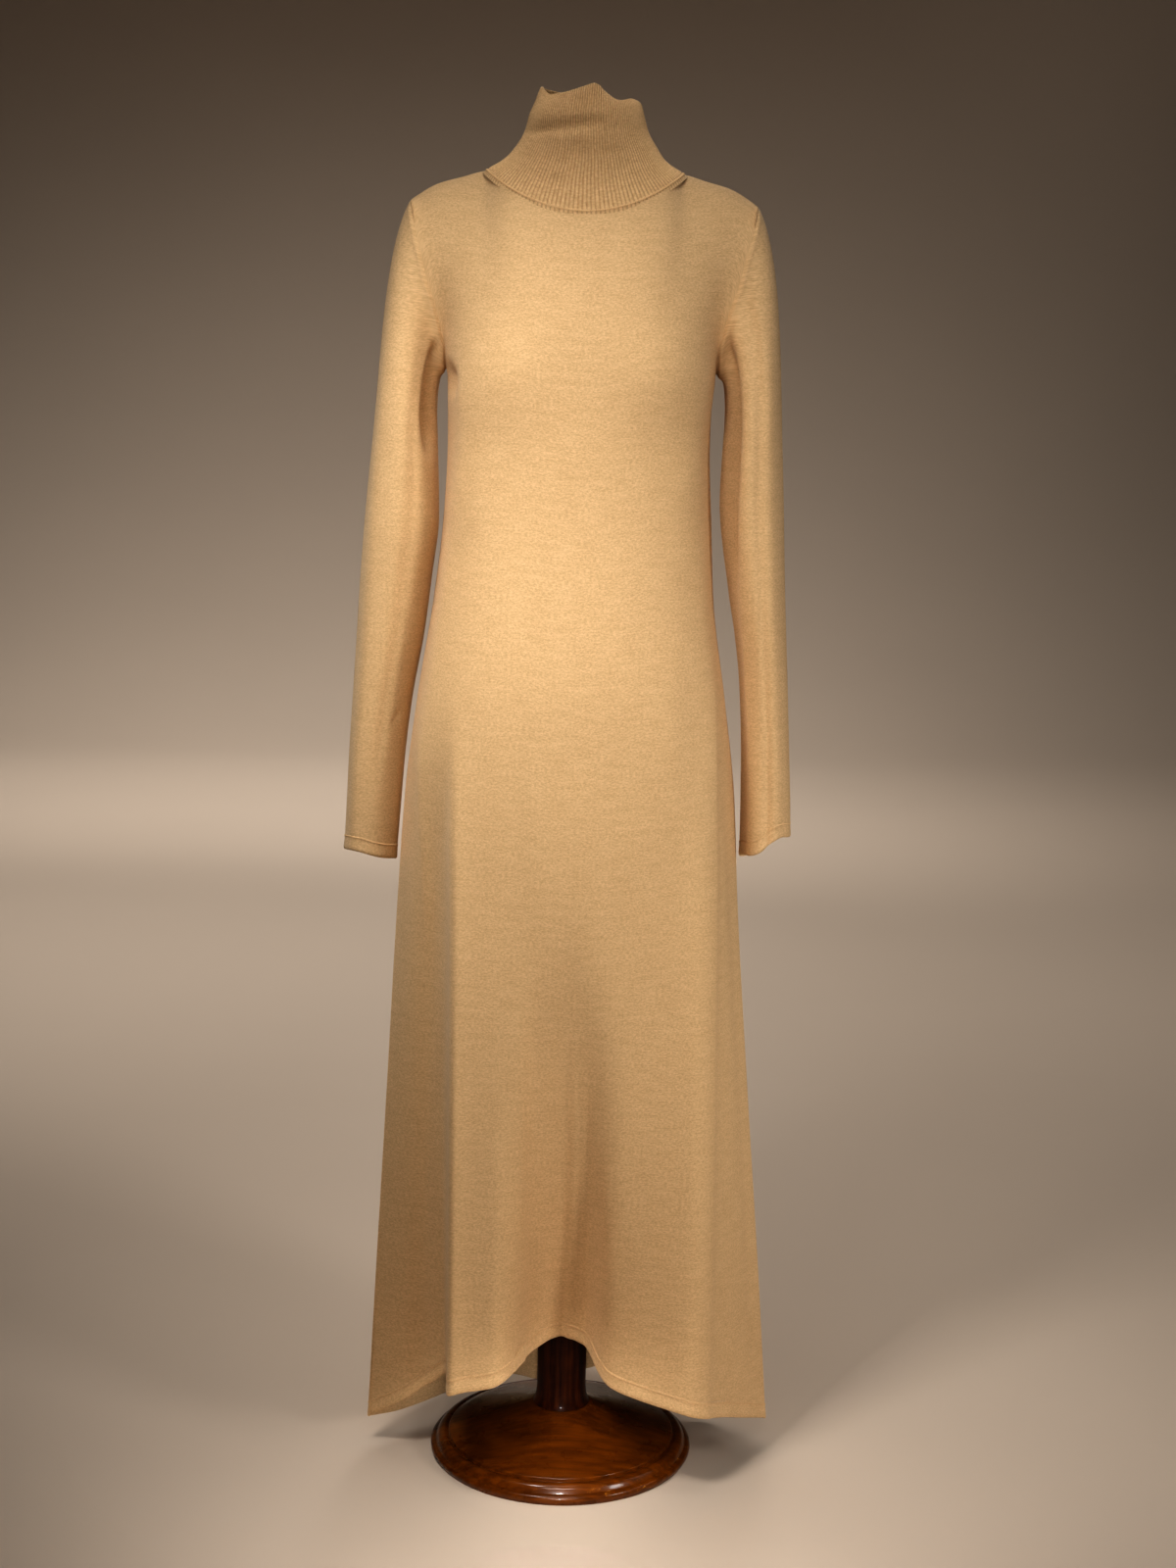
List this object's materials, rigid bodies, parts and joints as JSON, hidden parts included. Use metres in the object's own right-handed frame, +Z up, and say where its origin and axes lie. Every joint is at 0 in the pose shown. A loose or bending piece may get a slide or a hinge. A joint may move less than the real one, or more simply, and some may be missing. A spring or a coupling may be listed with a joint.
{
  "type": "sweater dress on a dress form",
  "caption": "Long fine-knit turtleneck sweater dress with set-in sleeves and flared folded skirt, hung on a limbless form on a turned wooden post and round base.",
  "frame": {"origin": "centre of the base's underside, on the floor", "axes": "+Z up through the post, -Y towards the dress's front, +X towards the wearer's left sleeve"},
  "size_m": [0.4784, 0.29, 1.4766],
  "materials": {
    "camel_knit_front": "fine melange knit",
    "camel_knit_back": "fine melange knit",
    "camel_knit_sleeve_left": "fine melange knit",
    "camel_knit_sleeve_right": "fine melange knit",
    "camel_rib": "one-by-one rib knit",
    "camel_hem_front": "turned knit hem",
    "camel_hem_back": "turned knit hem",
    "camel_cuff_left": "turned knit cuff",
    "camel_cuff_right": "turned knit cuff",
    "form_cover": "plain linen cover",
    "dark_post_wood": "dark red-brown varnish",
    "dark_base_wood": "dark red-brown varnish, worn at the rim"
  },
  "bodies": {
    "root": {"front_bodice": "camel_knit_front", "front_skirt": "camel_knit_front", "back_bodice": "camel_knit_back", "back_skirt": "camel_knit_back", "hem_front": "camel_hem_front", "hem_back": "camel_hem_back", "sleeve_left": "camel_knit_sleeve_left", "sleeve_right": "camel_knit_sleeve_right", "cuff_left": "camel_cuff_left", "cuff_right": "camel_cuff_right", "collar": "camel_rib", "form_torso": "form_cover", "post": "dark_post_wood", "base": "dark_base_wood"}
  },
  "joints": []
}
